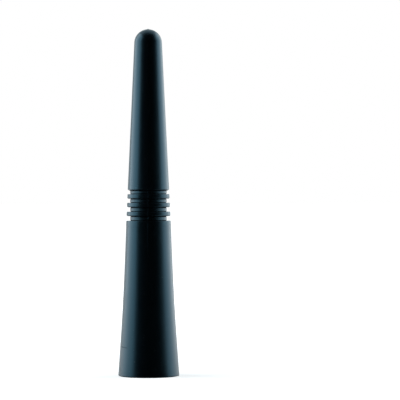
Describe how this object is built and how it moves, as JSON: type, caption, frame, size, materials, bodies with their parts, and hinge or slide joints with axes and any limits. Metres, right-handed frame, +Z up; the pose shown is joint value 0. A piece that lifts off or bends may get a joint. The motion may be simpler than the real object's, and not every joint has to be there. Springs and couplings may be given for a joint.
{
  "type": "car antenna",
  "caption": "Short black car antenna mast: domed tip, tapered shaft, ribbed waist and flared foot, wound conductor inside, screwed onto a stud by a threaded socket in its flat base.",
  "frame": {"origin": "centre of the flat base, on the mast's axis", "axes": "+Z up the mast to its tip; X and Y are free, because the outside is a body of revolution"},
  "size_m": [0.0157, 0.0156, 0.089],
  "materials": {
    "moulded_black": "satin moulded black",
    "plated_brass": "nickel-plated, turned",
    "glass_fibre": "pultruded rod, matt",
    "copper": "bare drawn copper"
  },
  "bodies": {
    "root": {"mast_sleeve": "moulded_black", "threaded_socket": "plated_brass", "coil_former": "glass_fibre", "radiator_coil": "copper"}
  },
  "joints": []
}
